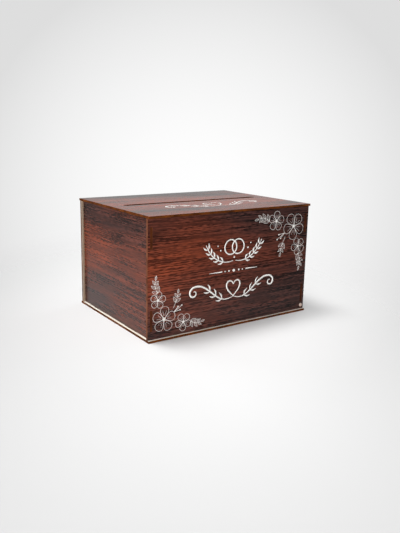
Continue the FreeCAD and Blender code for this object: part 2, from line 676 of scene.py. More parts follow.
def finish_piece(name: str, bm: Mesh, materials: Sequence[Material]) -> Piece:
    """Turn a finished bmesh into an object at the origin.

    Args:
        name: The piece's name.
        bm: The mesh, in place; it is freed.
        materials: The piece's materials, by slot.

    Returns:
        The linked object.
    """
    mesh = bpy.data.meshes.new(name)
    bm.to_mesh(mesh)
    bm.free()
    for material in materials:
        mesh.materials.append(material)
    piece = bpy.data.objects.new(name, mesh)
    bpy.context.scene.collection.objects.link(piece)
    return piece


@dataclass
class Board:
    """One laser-cut board: a flat blank with tenons and openings, one face outward and one inward.

    The distance of the inner face from the origin and the thickness are in metres.
    """

    node: str
    body: str
    slot: str
    facing: Facing
    inner: float
    thickness: float
    blank: Patch
    tenons: list[Patch] = field(default_factory=list)
    openings: list[Patch] = field(default_factory=list)
    rim_bevel_mm: float = 0.18
    rim_segments: int = 2
    corner_segments: int = 10

    def build(self, outer: Material, raw: Material, edge: Material) -> Piece:
        """Cut, thicken, ease and dress the board.

        Args:
            outer: Material of the outward face.
            raw: Material of the inward face.
            edge: Material of the cut edges.

        Returns:
            The piece that stands for the board's node.
        """
        bm = self._cut_sheet()
        self._thicken(bm)
        self._round_openings(bm)
        self._ease_rims(bm)
        self._mark_faces(bm)
        bmesh.ops.transform(bm, matrix=self.facing.place(self.inner), verts=bm.verts)
        piece = finish_piece(self.node + "_board", bm, (outer, raw, edge))
        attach(piece, self.body)
        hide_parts(self.node)
        return piece

    def _cut_sheet(self) -> Mesh:
        """Cut the flat outline: slice a rectangle along every edge of the joinery and drop the waste.

        Returns:
            The flat sheet.
        """
        bm = bmesh.new()
        parts = [self.blank, *self.tenons, *self.openings]
        lines_u = sorted({line for part in parts for line in part.lines_u()})
        lines_v = sorted({line for part in parts for line in part.lines_v()})
        wide = lines_u[-1] - lines_u[0]
        high = lines_v[-1] - lines_v[0]
        bmesh.ops.create_grid(bm, x_segments=1, y_segments=1, size=0.5)
        bmesh.ops.scale(bm, vec=(wide * MM, high * MM, 1.0), verts=bm.verts)
        middle = ((lines_u[0] + lines_u[-1]) / 2 * MM, (lines_v[0] + lines_v[-1]) / 2 * MM, 0.0)
        bmesh.ops.translate(bm, vec=middle, verts=bm.verts)
        for line in lines_u[1:-1]:
            self._slice(bm, Vector((line * MM, 0, 0)), Vector((1, 0, 0)))
        for line in lines_v[1:-1]:
            self._slice(bm, Vector((0, line * MM, 0)), Vector((0, 1, 0)))
        waste = [face for face in bm.faces if not self._keeps(face.calc_center_median())]
        bmesh.ops.delete(bm, geom=waste, context="FACES")
        nearly_flat = math.radians(1)
        bmesh.ops.dissolve_limit(
            bm, angle_limit=nearly_flat, verts=bm.verts, edges=bm.edges, use_dissolve_boundaries=False
        )
        return bm

    def _slice(self, bm: Mesh, place: Vector, direction: Vector) -> None:
        """Cut all faces of the flat sheet along one straight line."""
        cut = [*bm.verts, *bm.edges, *bm.faces]
        bmesh.ops.bisect_plane(bm, geom=cut, dist=MERGE_MM * MM, plane_co=place, plane_no=direction)

    def _keeps(self, middle: Vector) -> bool:
        """Tell whether a cell of the sliced sheet is board and not waste.

        Args:
            middle: The cell's middle, in metres.

        Returns:
            True for board.
        """
        u = middle.x / MM
        v = middle.y / MM
        board = any(part.holds(u, v) for part in (self.blank, *self.tenons))
        return board and not any(part.holds(u, v) for part in self.openings)

    def _thicken(self, bm: Mesh) -> None:
        """Give the flat outline the board's thickness, with all faces looking outwards.

        Args:
            bm: The flat sheet.
        """
        made = bmesh.ops.extrude_face_region(bm, geom=bm.faces[:])
        raised = [item for item in made["geom"] if isinstance(item, bmesh.types.BMVert)]
        bmesh.ops.translate(bm, vec=(0, 0, self.thickness), verts=raised)
        bmesh.ops.recalc_face_normals(bm, faces=bm.faces)

    def _round_openings(self, bm: Mesh) -> None:
        """Round the upright corners of the openings that have a radius.

        Args:
            bm: The thick board.
        """
        near = MERGE_MM * MM
        # Two full quarter rounds would meet in double points at a half-round end
        short_of_full = 0.999
        for part in self.openings:
            if part.radius <= 0:
                continue
            corners = [Vector((u * MM, v * MM)) for u in part.lines_u() for v in part.lines_v()]
            upright = [
                edge for edge in bm.edges
                if abs(edge.verts[0].co.z - edge.verts[1].co.z) > near
                and any((edge.verts[0].co.xy - corner).length < near for corner in corners)
            ]
            bmesh.ops.bevel(
                bm, geom=upright, offset=part.radius * MM * short_of_full, segments=self.corner_segments,
                profile=0.5, affect="EDGES", material=-1, clamp_overlap=True,
            )

    def _ease_rims(self, bm: Mesh) -> None:
        """Break all sharp rims of the board slightly.

        Args:
            bm: The thick board.
        """
        sharp = math.radians(30)
        rims = [edge for edge in bm.edges if edge.calc_face_angle(0.0) > sharp]
        bmesh.ops.bevel(
            bm, geom=rims, offset=self.rim_bevel_mm * MM, segments=self.rim_segments, profile=0.5,
            affect="EDGES", material=-1, clamp_overlap=True,
        )

    def _mark_faces(self, bm: Mesh) -> None:
        """Give each face of the board, still in its own plane, the place of its material.

        Args:
            bm: The eased board.
        """
        flat = 0.999
        for face in bm.faces:
            face.material_index = BoardFace.EDGE
            if face.normal.z > flat:
                face.material_index = BoardFace.OUTER
            elif face.normal.z < -flat:
                face.material_index = BoardFace.RAW


@dataclass
class BoxSizes:
    """The box's main places, in millimetres, read from the frame."""

    half_width: float
    half_depth: float
    base_top: float
    lid_underside: float
    lid_top: float
    front_inner: float
    side_inner: float
    board: float
    screw_height: float

    @classmethod
    def from_frame(cls) -> "BoxSizes":
        """Read the places from the boxes of the CAD nodes.

        Returns:
            The places.
        """
        base_low, base_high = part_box("base_panel")
        lid_low, lid_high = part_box("lid_panel")
        front_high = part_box("front_panel")[1]
        right_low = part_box("right_side_panel")[0]
        screw_low, screw_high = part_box("corner_screws")
        return cls(
            half_width=base_high.x / MM,
            half_depth=base_high.y / MM,
            base_top=base_high.z / MM,
            lid_underside=lid_low.z / MM,
            lid_top=lid_high.z / MM,
            front_inner=-front_high.y / MM,
            side_inner=right_low.x / MM,
            board=(base_high.z - base_low.z) / MM,
            screw_height=(screw_low.z + screw_high.z) / 2 / MM,
        )

    @property
    def wall_height(self) -> float:
        """Height of the walls between base and lid."""
        return self.lid_underside - self.base_top

    @property
    def wall_middle(self) -> float:
        """Height of the walls' middle over the floor."""
        return (self.lid_underside + self.base_top) / 2

    @property
    def side_middle(self) -> float:
        """Distance of a side wall's middle plane from the box's middle."""
        return self.side_inner + self.board / 2

    @property
    def front_middle(self) -> float:
        """Distance of the front wall's middle plane from the box's middle."""
        return self.front_inner + self.board / 2

    @property
    def front_outer(self) -> float:
        """Distance of the front wall's printed face from the box's middle."""
        return self.front_inner + self.board


@dataclass
class BoxShell:
    """The base and the four walls, tenoned into each other; its own sizes are in millimetres."""

    sizes: BoxSizes
    raw: Material
    edge: Material
    corner_tenon_length: float = 26.0
    corner_tenon_end_gap: float = 10.5
    base_tenon_length: float = 30.0
    base_tenon_pitch_front: float = 128.0
    base_tenon_pitch_side: float = 92.0
    mortise_play: float = 0.1
    # How far past the slots the middle of the painted corner shade lies
    painted_shade_past_slots: float = 1.2
    hole_diameter: float = 2.7
    screw_length: float = 10.0
    slot_run_out: float = 1.0
    nut_setback: float = 3.4
    nut_pocket_length: float = 1.7
    nut_pocket_width: float = 5.2

    def build(self) -> list[Piece]:
        """Build the base and the walls.

        Returns:
            The five boards.
        """
        # Raw faces of front and back walls, with painted shade in the corners where the side walls meet them
        corner_shaded_raw = RawBoardWithPaintedCornerShade(line_mm=self.sizes.side_middle + self.painted_shade_past_slots).material()
        wall_ends = LaserCutEdge(
            "fibreboard_laser_cut_end", scorched="#4a2a1c", golden="#82513a",
        ).material()
        # The side walls' cut edges are a darker copy of the edge: painted shade for the gaps round their
        # tenon ends, which lie flush in the front and back walls
        tenon_ends_painted_shade = LaserCutEdge(
            "fibreboard_laser_cut_tenon_painted_shade", scorched="#2a120a", golden="#5c2f16",
        ).material()
        front = self._long_wall("front_panel", Facing.FRONT, screwed_end=1)
        back = self._long_wall("back_panel", Facing.BACK, screwed_end=-1)
        left = self._short_wall("left_side_panel", Facing.LEFT, [])
        right = self._short_wall("right_side_panel", Facing.RIGHT, self._t_slots())
        grain = self._grain()
        return [
            self._base().build(grain["base"].material(), self.raw, self.edge),
            front.build(grain["front"].material(), corner_shaded_raw, wall_ends),
            back.build(grain["back"].material(), corner_shaded_raw, self.edge),
            left.build(grain["left"].material(), self.raw, tenon_ends_painted_shade),
            right.build(grain["right"].material(), self.raw, tenon_ends_painted_shade),
        ]

    def _grain(self) -> dict[str, WoodGrainPrint]:
        """Choose the cut of the printed sheet for each board.

        Returns:
            The prints, by the side that they are on.
        """
        back_heart = RedHeart((80.0, 94.5, 78.0), along_mm=300.0, across_mm=105.0, tone=0.82)
        base_heart = RedHeart((-60.0, 0.0, 0.0), along_mm=400.0, across_mm=120.0, tone=0.85)
        front_heart = RedHeart((-138.4, -94.5, 83.4), along_mm=286.6, across_mm=99.8, tone=0.81)
        left_heart = RedHeart((-124.5, 0.0, 81.1), along_mm=2000.0, across_mm=104.9, tone=0.606)
        right_heart = RedHeart((124.5, 60.0, 78.0), along_mm=400.0, across_mm=105.0, tone=0.72)
        wide = Grain.ALONG_X
        deep = Grain.ALONG_Y
        return {
            "back": WoodGrainPrint("rosewood_print_back", wide, 31.0, back_heart),
            "base": WoodGrainPrint("rosewood_print_base", wide, 93.0, base_heart),
            "front": WoodGrainPrint("rosewood_print_front", wide, 608.576, front_heart, bands=0.36),
            "left": WoodGrainPrint("rosewood_print_left", deep, 596.12, left_heart, bands=0.75),
            "right": WoodGrainPrint("rosewood_print_right", deep, 77.0, right_heart),
        }

    def _board(self, node: str, facing: Facing, inner: float, blank: Patch, **joinery: list[Patch]) -> Board:
        """Describe one printed board of the shell.

        Args:
            node: The CAD node that the board stands for.
            facing: The way its printed face looks.
            inner: Distance of its raw face from the origin.
            blank: Its outline without tenons.
            **joinery: Its tenons and openings.

        Returns:
            The board, not yet built.
        """
        return Board(
            node=node, body="box", slot="printed_board", facing=facing, inner=inner * MM,
            thickness=self.sizes.board * MM, blank=blank, **joinery,
        )

    def _mortise(self, u: float, v: float, tenon_u: float, tenon_v: float) -> Patch:
        """Describe the mortise round a tenon of these sizes, with play on all sides."""
        return Patch(u, v, tenon_u + 2 * self.mortise_play, tenon_v + 2 * self.mortise_play)

    def _base(self) -> Board:
        """Describe the base with its mortises; its printed face looks down.

        Returns:
            The base, not yet built.
        """
        s = self.sizes
        length = self.base_tenon_length
        mortises = []
        for side in (-1, 1):
            for end in (-1, 1):
                along_front = end * self.base_tenon_pitch_front / 2
                along_side = end * self.base_tenon_pitch_side / 2
                mortises.append(self._mortise(along_front, side * s.front_middle, length, s.board))
                mortises.append(self._mortise(side * s.side_middle, along_side, s.board, length))
        blank = Patch(0, 0, 2 * s.half_width, 2 * s.half_depth)
        return self._board("base_panel", Facing.DOWN, -s.base_top, blank, openings=mortises)

    def _base_tenons(self, pitch: float) -> list[Patch]:
        """Describe a wall's pair of tenons into the base, this far apart."""
        middle = self.sizes.base_top - self.sizes.board / 2
        return [Patch(side * pitch / 2, middle, self.base_tenon_length, self.sizes.board) for side in (-1, 1)]

    def _corner_tenon_heights(self) -> Span:
        """Give the heights of the middles of the two tenons at a wall's end."""
        rise = self.sizes.wall_height / 2 - self.corner_tenon_end_gap - self.corner_tenon_length / 2
        return (self.sizes.wall_middle - rise, self.sizes.wall_middle + rise)

    def _long_wall(self, node: str, facing: Facing, screwed_end: int) -> Board:
        """Describe the front or back wall, with mortises at both ends and a screw hole by the right wall.

        Args:
            node: The CAD node that the wall stands for.
            facing: The way its printed face looks.
            screwed_end: Sign of u at the end with the screw hole.

        Returns:
            The wall, not yet built.
        """
        s = self.sizes
        openings = [
            self._mortise(side * s.side_middle, height, s.board, self.corner_tenon_length)
            for side in (-1, 1) for height in self._corner_tenon_heights()
        ]
        hole = self.hole_diameter
        openings.append(Patch(screwed_end * s.side_middle, s.screw_height, hole, hole, radius=hole / 2))
        blank = Patch(0, s.wall_middle, 2 * s.half_width, s.wall_height)
        tenons = self._base_tenons(self.base_tenon_pitch_front)
        return self._board(node, facing, s.front_inner, blank, tenons=tenons, openings=openings)

    def _t_slots(self) -> list[Patch]:
        """Describe the T-slots for screw and nut at both ends of the right wall.

        Returns:
            A neck and a cross pocket for each end.
        """
        s = self.sizes
        neck_length = self.screw_length - s.board + self.slot_run_out
        slots = []
        for end in (-1, 1):
            neck_middle = end * (s.front_inner - neck_length / 2)
            pocket_middle = end * (s.front_inner - self.nut_setback - self.nut_pocket_length / 2)
            slots.append(Patch(neck_middle, s.screw_height, neck_length, self.hole_diameter))
            slots.append(Patch(pocket_middle, s.screw_height, self.nut_pocket_length, self.nut_pocket_width))
        return slots

    def _short_wall(self, node: str, facing: Facing, openings: list[Patch]) -> Board:
        """Describe a side wall, with through tenons at both ends.

        Args:
            node: The CAD node that the wall stands for.
            facing: The way its printed face looks.
            openings: The T-slots of a wall that is screwed.

        Returns:
            The wall, not yet built.
        """
        s = self.sizes
        tenons = self._base_tenons(self.base_tenon_pitch_side)
        for end in (-1, 1):
            for height in self._corner_tenon_heights():
                tenons.append(Patch(end * s.front_middle, height, s.board, self.corner_tenon_length))
        blank = Patch(0, s.wall_middle, 2 * s.front_inner, s.wall_height)
        return self._board(node, facing, s.side_inner, blank, tenons=tenons, openings=openings)


@dataclass
class Lid:
    """The lid board with its card slot, in millimetres, and the raw strips under it."""

    sizes: BoxSizes
    raw: Material
    edge: Material
    card_slot_length: float = 217.0
    card_slot_width: float = 9.0

    def build(self) -> list[Piece]:
        """Build the lid board and its strips.

        Returns:
            The five boards that lift off together.
        """
        heart = RedHeart((-94.9, -13.0, 153.0), along_mm=453.7, across_mm=116.4, tone=0.886)
        grain = WoodGrainPrint(
            "rosewood_print_lid", Grain.ALONG_X, seed=1059.933, heart=heart, bands=1.6,
            dark_ground="#3f2723", red_ground="#b04b2b",
        )
        pieces = [self._top().build(grain.material(), self.raw, self.edge)]
        for side in ("front", "back", "left", "right"):
            pieces.append(self._strip("lid_strip_" + side).build(self.raw, self.raw, self.edge))
        return pieces

    def _top(self) -> Board:
        """Describe the lid board with its round-ended slot.

        Returns:
            The board, not yet built.
        """
        s = self.sizes
        slot = Patch(0, 0, self.card_slot_length, self.card_slot_width, radius=self.card_slot_width / 2)
        return Board(
            node="lid_panel", body="lid", slot="printed_board", facing=Facing.UP, inner=s.lid_underside * MM,
            thickness=s.board * MM, blank=Patch(0, 0, 2 * s.half_width, 2 * s.half_depth), openings=[slot],
        )

    def _strip(self, node: str) -> Board:
        """Describe one locating strip from the box of its node.

        Args:
            node: The CAD node that the strip stands for.

        Returns:
            The strip, not yet built.
        """
        low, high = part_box(node)
        middle = (low + high) / 2 / MM
        size = (high - low) / MM
        return Board(
            node=node, body="lid", slot="raw_board", facing=Facing.UP, inner=low.z, thickness=size.z * MM,
            blank=Patch(middle.x, middle.y, size.x, size.y),
        )


@dataclass
class CornerFasteners:
    """The screws and square nuts of the right wall, whose CAD meshes show as they are."""

    nodes: tuple[str, ...] = ("corner_screws", "corner_nuts")

    def dress(self, steel: Material) -> list[Piece]:
        """Give the screws and nuts their finish.

        Args:
            steel: The plated steel.

        Returns:
            The dressed CAD nodes.
        """
        pieces = [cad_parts[node] for node in self.nodes]
        for piece in pieces:
            piece.data.materials.clear()
            piece.data.materials.append(steel)
        return pieces


@dataclass(frozen=True)
class Stroke:
    """One drawn line in a board's plane: points in millimetres and the line's width at each of them."""

    points: tuple[Point, ...]
    widths: tuple[float, ...]
    closed: bool = False

    def placed(self, move: Point, scale: float = 1.0, degrees: float = 0.0, flip: bool = False) -> "Stroke":
        """Give the stroke flipped left to right if asked, then scaled, turned and moved.

        Args:
            move: Where the drawing's origin goes.
            scale: Factor on its points; widths stay.
            degrees: Turn, anticlockwise.
            flip: Whether u changes sign first.

        Returns:
            The new stroke.
        """
        cosine = math.cos(math.radians(degrees)) * scale
        sine = math.sin(math.radians(degrees)) * scale
        side = -1 if flip else 1
        points = tuple(
            (move[0] + side * u * cosine - v * sine, move[1] + side * u * sine + v * cosine)
            for u, v in self.points
        )
        return Stroke(points, self.widths, self.closed)


def on_circle(middle: Point, radius: float, degrees: float) -> Point:
    """Give the point at this distance and angle from a middle."""
    angle = math.radians(degrees)
    return (middle[0] + radius * math.cos(angle), middle[1] + radius * math.sin(angle))


def heading(start: Point, end: Point) -> float:
    """Give the direction from one point to another, in degrees."""
    return math.degrees(math.atan2(end[1] - start[1], end[0] - start[0]))


def spiral(middle: Point, radii: Span, degrees: Span, count: int) -> list[Point]:
    """Give points of a spiral.

    Args:
        middle: Its middle.
        radii: Its first and last radius.
        degrees: Its first and last angle.
        count: Number of points.

    Returns:
        The points, evenly spaced in angle.
    """
    steps = [k / (count - 1) for k in range(count)]
    return [
        on_circle(middle, radii[0] + (radii[1] - radii[0]) * t, degrees[0] + (degrees[1] - degrees[0]) * t)
        for t in steps
    ]


@dataclass
class Drawing:
    """A white line ornament, drawn stroke by stroke, in millimetres; fine is the width of a thin line."""

    fine: float = 0.75
    strokes: list[Stroke] = field(default_factory=list)

    def even(self, points: Sequence[Point], width: float, closed: bool = False) -> None:
        """Draw a line of one width."""
        self.strokes.append(Stroke(tuple(points), (width,) * len(points), closed))

    def swelling(self, points: Sequence[Point], thin: float, thick: float) -> None:
        """Draw a line that starts thin, swells to its middle and ends thin.

        Args:
            points: The line's points.
            thin: Its width at both ends.
            thick: Its width in the middle.
        """
        last = len(points) - 1
        widths = tuple(thin + (thick - thin) * math.sin(math.pi * k / last) for k in range(len(points)))
        self.strokes.append(Stroke(tuple(points), widths))

    def tapering(self, points: Sequence[Point], thick: float, thin: float) -> None:
        """Draw a line that gets thinner from its start to its end.

        Args:
            points: The line's points.
            thick: Its width at the start.
            thin: Its width at the end.
        """
        last = len(points) - 1
        widths = tuple(thick + (thin - thick) * k / last for k in range(len(points)))
        self.strokes.append(Stroke(tuple(points), widths))

    def dot(self, middle: Point, size: float) -> None:
        """Draw a filled round dot, as a ring with a line so wide that it fills it."""
        ring = [on_circle(middle, size / 4, 90.0 * k) for k in range(4)]
        self.even(ring, size / 2, closed=True)

    def leaf(self, base: Point, degrees: float, length: float, width: float) -> None:
        """Draw a pointed leaf in outline with its midrib.

        Args:
            base: Where the leaf starts.
            degrees: The way it points.
            length: Its length.
            width: Its greatest width.
        """
        half = ((0.0, 0.0), (0.2, 0.36), (0.5, 0.5), (0.8, 0.25), (1.0, 0.0))
        midrib = ((0.0, 0.0), (0.4, 0.03), (0.78, 0.0))
        shape = Drawing(self.fine)
        for side in (-1, 1):
            shape.even([(u * length, side * v * width) for u, v in half], self.fine)
        shape.tapering([(u * length, v * width) for u, v in midrib], self.fine, 0.5 * self.fine)
        self.add(shape, base, degrees=degrees)

    def blossom(self, middle: Point, radius: float, degrees: float) -> None:
        """Draw an open five-petalled blossom with veins and stamens.

        Args:
            middle: The blossom's middle.
            radius: Reach of its petals.
            degrees: The way its first petal points.
        """
        petals = 5
        outline = ((0.14, 0.0), (0.42, 0.27), (0.74, 0.37), (0.95, 0.21), (1.0, 0.0),
                   (0.95, -0.21), (0.74, -0.37), (0.42, -0.27))
        vein = ((0.3, 0.05), (0.48, 0.1), (0.66, 0.18))
        stamen_reaches = (0.36, 0.42)
        stamen_bend = 6
        shape = Drawing(self.fine)
        for petal in range(petals):
            turn = degrees + 360 / petals * petal
            part = Drawing(self.fine)
            part.even([(u * radius, v * radius) for u, v in outline], self.fine, closed=True)
            for side in (-1, 1):
                points = [(u * radius, side * v * radius) for u, v in vein]
                part.tapering(points, 0.8 * self.fine, 0.4 * self.fine)
            shape.add(part, (0, 0), degrees=turn)
            between = turn + 180 / petals
            reach = radius * stamen_reaches[petal % 2]
            bend = on_circle((0, 0), reach / 2, between - stamen_bend)
            tip = on_circle((0, 0), reach, between)
            shape.tapering([(0, 0), bend, tip], 1.3 * self.fine, self.fine)
            shape.dot(tip, 2.2 * self.fine)
        shape.dot((0, 0), 0.24 * radius)
        self.add(shape, middle)

    def sprig(self, stem: Sequence[Point], first: int, length: float) -> None:
        """Draw a stem with leaves in pairs, which get smaller, and a leaf at its tip.

        Args:
            stem: The stem's points.
            first: Number of the point with the first pair of leaves.
            length: Length of the first leaves.
        """
        spread = 42
        shrink = 0.4
        self.tapering(stem, 1.2 * self.fine, 0.8 * self.fine)
        last = len(stem) - 1
        for k in range(first, last):
            ahead = heading(stem[k], stem[k + 1])
            size = length * (1 - shrink * (k - first) / max(last - first, 1))
            for side in (-1, 1):
                self.leaf(stem[k], ahead + side * spread, size, 0.42 * size)
        self.leaf(stem[-1], heading(stem[-2], stem[-1]), 0.65 * length, 0.28 * length)

    def leaves(self, stem: Sequence[Point], length: float, thick: float) -> None:
        """Draw solid leaves in pairs at every point of a stem but its last.

        Args:
            stem: The stem's points.
            length: The leaves' length.
            thick: Their greatest width.
        """
        belly_spread = 50
        tip_spread = 34
        for start, end in zip(stem, stem[1:]):
            ahead = heading(start, end)
            for side in (-1, 1):
                belly = on_circle(start, 0.5 * length, ahead + side * belly_spread)
                tip = on_circle(start, length, ahead + side * tip_spread)
                self.swelling([start, belly, tip], 0.6 * self.fine, thick)

    def heart(self, middle: Point, size: float, width: float) -> None:
        """Draw a heart in two mirrored strokes that start in its notch and meet in its point.

        Args:
            middle: The heart's middle.
            size: Its width.
            width: About the width of its line.
        """
        half = ((0.0, 0.22), (0.14, 0.4), (0.34, 0.42), (0.49, 0.24), (0.42, -0.04), (0.2, -0.3), (0.0, -0.5))
        for side in (-1, 1):
            points = [(middle[0] + side * u * size, middle[1] + v * size) for u, v in half]
            self.swelling(points, 0.6 * width, 1.25 * width)

    def add(self, other: "Drawing", move: Point, scale: float = 1.0, degrees: float = 0.0) -> None:
        """Add another drawing, scaled, turned and moved."""
        self.strokes.extend(stroke.placed(move, scale, degrees) for stroke in other.strokes)

    def mirrored(self) -> None:
        """Add the mirror image of all strokes so far, left to right."""
        self.strokes.extend([stroke.placed((0, 0), flip=True) for stroke in self.strokes])


def corner_spray() -> Drawing:
    """Draw blossoms in a corner at the origin, with leafy sprigs along both edges.

    Returns:
        The drawing, for a lower left corner.
    """
    spray = Drawing(fine=0.43)
    spray.sprig([(14, 57), (11, 62.5), (10, 68), (11, 73)], first=0, length=8.5)
    spray.sprig([(62, 14), (67.5, 11), (73, 10), (78, 11)], first=0, length=8.5)
    spray.sprig([(36, 35), (39.5, 42), (41.5, 48), (42.5, 53)], first=1, length=8.0)
    spray.blossom((23, 23), radius=16.0, degrees=14.0)
    spray.blossom((51, 15), radius=11.5, degrees=48.0)
    spray.blossom((14.5, 48), radius=10.5, degrees=80.0)
    fork = (37, 30)
    for bud in ((43, 36), (46, 31.5), (48.5, 37)):
        spray.tapering([fork, bud], thick=0.7, thin=0.5)
        spray.dot(bud, size=2.0)
    return spray


def ring_crest() -> Drawing:
    """Draw two linked rings over a pair of mirrored laurel branches, about the origin.

    Returns:
        The drawing, about 96 mm wide and 34 mm high.
    """
    crest = Drawing()
    branch = [(2, -14), (10, -15), (18, -14), (25, -11.5), (31.5, -7.5), (37, -2.5), (41.5, 3.5), (45, 10)]
    crest.swelling(branch, thin=0.9, thick=1.8)
    crest.leaves(branch[2:], length=8.5, thick=3.0)
    crest.even([on_circle((6, 4), 9.5, 30.0 * k) for k in range(12)], width=2.0, closed=True)
    crest.dot((22, 1), size=2.4)
    crest.dot((26.5, 7), size=2.0)
    crest.mirrored()
    crest.dot((0, -9.5), size=2.6)
    return crest


def dotted_rule() -> Drawing:
    """Draw a divider about the origin: dots in the middle and tapered lines to both sides.

    Returns:
        The drawing, 78 mm wide.
    """
    rule = Drawing()
    rule.dot((8, 0), size=2.6)
    rule.dot((14, 0), size=2.0)
    rule.tapering([(19, 0), (29, 0), (39, 0)], thick=2.0, thin=0.6)
    rule.mirrored()
    rule.dot((0, 0), size=4.2)
    return rule


def heart_swash(reach: float, rise: float) -> Drawing:
    """Draw a heart about the origin with long mirrored swashes that end in scrolls and carry leaves.

    Args:
        reach: Distance from the heart's middle to the swashes' ends.
        rise: Height of the swashes.

    Returns:
        The drawing.
    """
    swash = Drawing()
    bend = (
        (0.0, -0.66), (0.12, -0.8), (0.26, -0.74), (0.4, -0.42),
        (0.53, 0.0), (0.66, 0.36), (0.78, 0.52), (0.9, 0.48),
    )
    line = [(u * reach, v * rise) for u, v in bend]
    curl = spiral((0.885 * reach, 0.06 * rise), (0.4 * rise, 0.1 * rise), (70, -290), count=8)
    swash.swelling([*line, *curl], thin=0.9, thick=3.0)
    swash.leaves(line[2:6], length=0.6 * rise, thick=2.6)
    swash.mirrored()
    swash.heart((0, 0), size=1.3 * rise, width=2.0)
    return swash


@dataclass
class LinePrint:
    """White line print on a board's outer face: strokes drawn as curves and pressed flat to a film of ink.

    Half of the film stands on the face, and half is sunk in it. The face's distance from the origin is in
    metres.
    """

    name: str
    body: str
    facing: Facing
    face: float
    ink: Material
    drawing: Drawing
    film_mm: float = 0.08
    curve_steps: int = 4

    def build(self) -> Piece:
        """Draw the strokes and lay them on the board.

        Returns:
            The print as one piece.
        """
        drawn = self._curve_object()
        bpy.context.view_layer.update()
        depsgraph = bpy.context.evaluated_depsgraph_get()
        mesh = bpy.data.meshes.new_from_object(drawn.evaluated_get(depsgraph))
        bpy.data.objects.remove(drawn)
        bm = bmesh.new()
        bm.from_mesh(mesh)
        bpy.data.meshes.remove(mesh)
        half_film = self.film_mm * MM / 2
        for vert in bm.verts:
            vert.co.z = max(-half_film, min(half_film, vert.co.z))
        bmesh.ops.transform(bm, matrix=self.facing.place(self.face), verts=bm.verts)
        bmesh.ops.recalc_face_normals(bm, faces=bm.faces)
        piece = finish_piece(self.name, bm, (self.ink,))
        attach(piece, self.body)
        return piece

    def _curve_object(self) -> Piece:
        """Make one curve object of all strokes, each as thick as it is drawn wide.

        Returns:
            The linked curve object.
        """
        curve = bpy.data.curves.new(self.name, "CURVE")
        curve.dimensions = "3D"
        curve.resolution_u = self.curve_steps
        curve.bevel_depth = MM / 2
        curve.bevel_resolution = 0
        curve.use_fill_caps = True
        for stroke in self.drawing.strokes:
            spline = curve.splines.new("BEZIER")
            spline.bezier_points.add(len(stroke.points) - 1)
            spline.use_cyclic_u = stroke.closed
            for knot, (u, v), width in zip(spline.bezier_points, stroke.points, stroke.widths):
                knot.co = (u * MM, v * MM, 0.0)
                knot.handle_left_type = "AUTO"
                knot.handle_right_type = "AUTO"
                knot.radius = width
        drawn = bpy.data.objects.new(self.name, curve)
        bpy.context.scene.collection.objects.link(drawn)
        return drawn


@dataclass
class Prints:
    """The white print on the front wall and on the lid, with its places in millimetres.

    A swash is given by its reach and its rise.
    """

    sizes: BoxSizes
    ink: Material
    crest_height: float = 101.0
    rule_height: float = 74.0
    heart_height: float = 51.0
    front_swash: Point = (70.0, 17.0)
    upper_spray_scale: float = 1.15
    lid_place: Point = (6.0, -40.0)
    lid_swash: Point = (75.0, 20.0)

    def build(self) -> list[Piece]:
        """Print front wall and lid.

        Returns:
            The two prints.
        """
        front_face = self.sizes.front_outer * MM
        lid_face = self.sizes.lid_top * MM
        front = LinePrint("front_white_print", "box", Facing.FRONT, front_face, self.ink, self._front())
        lid = LinePrint("lid_white_print", "lid", Facing.UP, lid_face, self.ink, self._lid())
        return [front.build(), lid.build()]

    def _front(self) -> Drawing:
        """Draw sprays in two corners, and crest, rule and heart down the middle.

        Returns:
            The front wall's drawing.
        """
        s = self.sizes
        front = Drawing()
        front.add(corner_spray(), (-s.half_width, s.base_top))
        front.add(corner_spray(), (s.half_width, s.lid_underside), self.upper_spray_scale, degrees=180)
        front.add(ring_crest(), (0, self.crest_height))
        front.add(dotted_rule(), (0, self.rule_height))
        front.add(heart_swash(*self.front_swash), (0, self.heart_height))
        return front

    def _lid(self) -> Drawing:
        """Draw a heart with swashes in front of the card slot.

        Returns:
            The lid's drawing.
        """
        lid = Drawing()
        lid.add(heart_swash(*self.lid_swash), self.lid_place)
        return lid


@dataclass(frozen=True)
class Oval:
    """A soft oval on the floor, square to the photograph's line of view, in metres.

    It has its middle to the right and away, factors that draw it out in these directions, and the distances
    from its middle at which a fade starts and is full.
    """

    middle: Point
    drawn_out: Point
    span: Span


